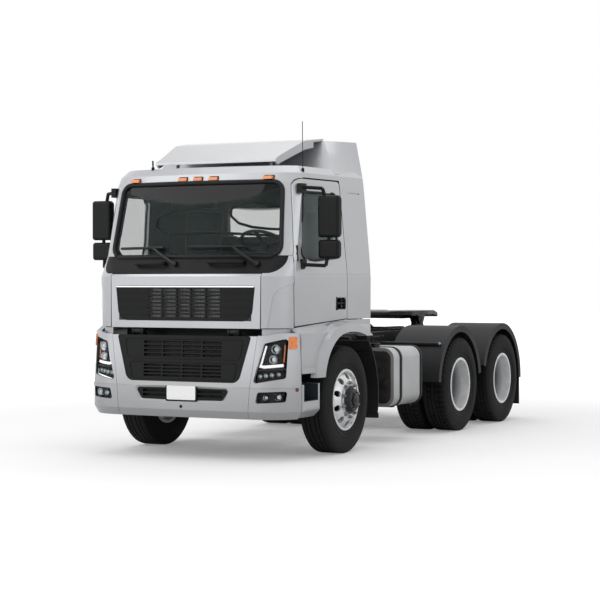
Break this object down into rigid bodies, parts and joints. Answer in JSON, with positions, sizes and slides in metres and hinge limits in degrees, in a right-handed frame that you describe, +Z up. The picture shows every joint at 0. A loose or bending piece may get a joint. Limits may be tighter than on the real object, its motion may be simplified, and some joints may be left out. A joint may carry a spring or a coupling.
{
  "type": "semi truck tractor unit",
  "caption": "Forward-control tractor unit with a tilting cab, opening doors and front lid, steered front wheels, twin drive wheels and a tilting coupling plate.",
  "frame": {"origin": "ground level, middle of the width and of the length", "axes": "+Z up, the cab faces -Y, the driver's side is +X"},
  "size_m": [2.736, 6.1199, 3.1801],
  "materials": {
    "cab_paint": "metallic paint, semi gloss",
    "bumper_paint": "metallic paint on moulded plastic",
    "grille_plastic": "grained dark plastic",
    "dark_plastic": "grained dark plastic",
    "cabin_trim": "textured trim",
    "seat_cloth": "woven cloth",
    "glass": "tinted",
    "lamp_clear": "clear polycarbonate lens",
    "lamp_amber": "amber lens",
    "lamp_red": "red lens",
    "frame_paint": "satin chassis paint",
    "axle_paint": "satin chassis paint",
    "engine_paint": "cast block, painted",
    "tyre": "moulded rubber",
    "rim_alloy": "machined and polished",
    "tank_alloy": "brushed sheet",
    "spring_steel": "painted spring steel",
    "silencer_steel": "dull steel",
    "mirror_shell": "gloss dark shell",
    "plate_steel": "greased black plate"
  },
  "bodies": {
    "chassis": {"air_tanks": "frame_paint", "battery_box": "dark_plastic", "bumper_corners": "bumper_paint", "chassis_frame": "frame_paint", "coupling_base": "plate_steel", "drive_axles": "axle_paint", "engine": "engine_paint", "entry_steps": "bumper_paint", "front_axle": "axle_paint", "front_bumper": "bumper_paint", "fuel_tank": "tank_alloy", "headlamps": "lamp_clear", "lower_grilles": "grille_plastic", "mudguards": "dark_plastic", "radiator": "dark_plastic", "rear_lamps": "lamp_red", "silencer": "silencer_steel", "springs": "spring_steel", "transmission": "axle_paint"},
    "cab": {"antennas": "dark_plastic", "cab_floor": "cab_paint", "cab_front": "cab_paint", "cab_glass": "glass", "cab_rear_wall": "cab_paint", "cab_roof": "cab_paint", "cab_side_panels": "cab_paint", "cowl_panels": "cab_paint", "dashboard": "cabin_trim", "front_wings": "cab_paint", "marker_lamps": "lamp_amber", "roof_fairing": "cab_paint", "seats": "seat_cloth", "windscreen_cowl": "grille_plastic"},
    "hatch": {"front_hatch": "cab_paint", "upper_grille": "grille_plastic"},
    "knuckle_l": {"knuckle_left": "axle_paint"},
    "knuckle_r": {"knuckle_right": "axle_paint"},
    "track_rod": {"tie_rod": "axle_paint"},
    "fifth_wheel_plate": {"fifth_wheel": "plate_steel"},
    "door_left_leaf": {"door_left": "cab_paint", "door_glass_left": "glass", "mirror_left": "mirror_shell"},
    "front_wheel_left": {"front_tyre_left": "tyre", "front_rim_left": "rim_alloy"},
    "drive_wheels_1_left": {"drive_tyres_1_left": "tyre", "drive_rims_1_left": "rim_alloy"},
    "drive_wheels_2_left": {"drive_tyres_2_left": "tyre", "drive_rims_2_left": "rim_alloy"},
    "door_right_leaf": {"door_right": "cab_paint", "door_glass_right": "glass", "mirror_right": "mirror_shell"},
    "front_wheel_right": {"front_tyre_right": "tyre", "front_rim_right": "rim_alloy"},
    "drive_wheels_1_right": {"drive_tyres_1_right": "tyre", "drive_rims_1_right": "rim_alloy"},
    "drive_wheels_2_right": {"drive_tyres_2_right": "tyre", "drive_rims_2_right": "rim_alloy"}
  },
  "joints": [
    {"name": "cab_tilt", "type": "hinge", "parent": "chassis", "child": "cab", "pos_m": [0, -2.969, 1.205], "axis": [1, 0, 0], "range_deg": [0, 70]},
    {"name": "hatch_lift", "type": "hinge", "parent": "cab", "child": "hatch", "pos_m": [0, -3.024, 1.75], "axis": [-1, 0, 0], "range_deg": [0, 80]},
    {"name": "steer_left", "type": "hinge", "parent": "chassis", "child": "knuckle_l", "pos_m": [0.895, -1.829, 0.522], "axis": [0, 0, 1], "range_deg": [-40, 40]},
    {"name": "steer_right", "type": "hinge", "parent": "chassis", "child": "knuckle_r", "pos_m": [-0.895, -1.829, 0.522], "axis": [0, 0, 1], "range_deg": [-40, 40]},
    {"name": "track_rod_swing", "type": "hinge", "parent": "knuckle_l", "child": "track_rod", "pos_m": [0.895, -1.659, 0.41], "axis": [0, 0, 1], "range_deg": [-40, 40]},
    {"name": "fifth_wheel_tilt", "type": "hinge", "parent": "chassis", "child": "fifth_wheel_plate", "pos_m": [0, 1.716, 1.215], "axis": [1, 0, 0], "range_deg": [-12, 12]},
    {"name": "door_left", "type": "hinge", "parent": "cab", "child": "door_left_leaf", "pos_m": [1.062, -2.791, 1.9], "axis": [0, 0, -1], "range_deg": [0, 80]},
    {"name": "roll_front_left", "type": "hinge", "parent": "knuckle_l", "child": "front_wheel_left", "pos_m": [1.007, -1.829, 0.522], "axis": [1, 0, 0], "continuous": true},
    {"name": "roll_drive_1_left", "type": "hinge", "parent": "chassis", "child": "drive_wheels_1_left", "pos_m": [0.92, 1.031, 0.522], "axis": [1, 0, 0], "continuous": true},
    {"name": "roll_drive_2_left", "type": "hinge", "parent": "chassis", "child": "drive_wheels_2_left", "pos_m": [0.92, 2.401, 0.522], "axis": [1, 0, 0], "continuous": true},
    {"name": "door_right", "type": "hinge", "parent": "cab", "child": "door_right_leaf", "pos_m": [-1.062, -2.791, 1.9], "axis": [0, 0, 1], "range_deg": [0, 80]},
    {"name": "roll_front_right", "type": "hinge", "parent": "knuckle_r", "child": "front_wheel_right", "pos_m": [-1.007, -1.829, 0.522], "axis": [1, 0, 0], "continuous": true},
    {"name": "roll_drive_1_right", "type": "hinge", "parent": "chassis", "child": "drive_wheels_1_right", "pos_m": [-0.92, 1.031, 0.522], "axis": [1, 0, 0], "continuous": true},
    {"name": "roll_drive_2_right", "type": "hinge", "parent": "chassis", "child": "drive_wheels_2_right", "pos_m": [-0.92, 2.401, 0.522], "axis": [1, 0, 0], "continuous": true}
  ],
  "couplings": [
    {"joint": "steer_right", "follows": "steer_left", "ratio": 1},
    {"joint": "track_rod_swing", "follows": "steer_left", "ratio": -1}
  ]
}
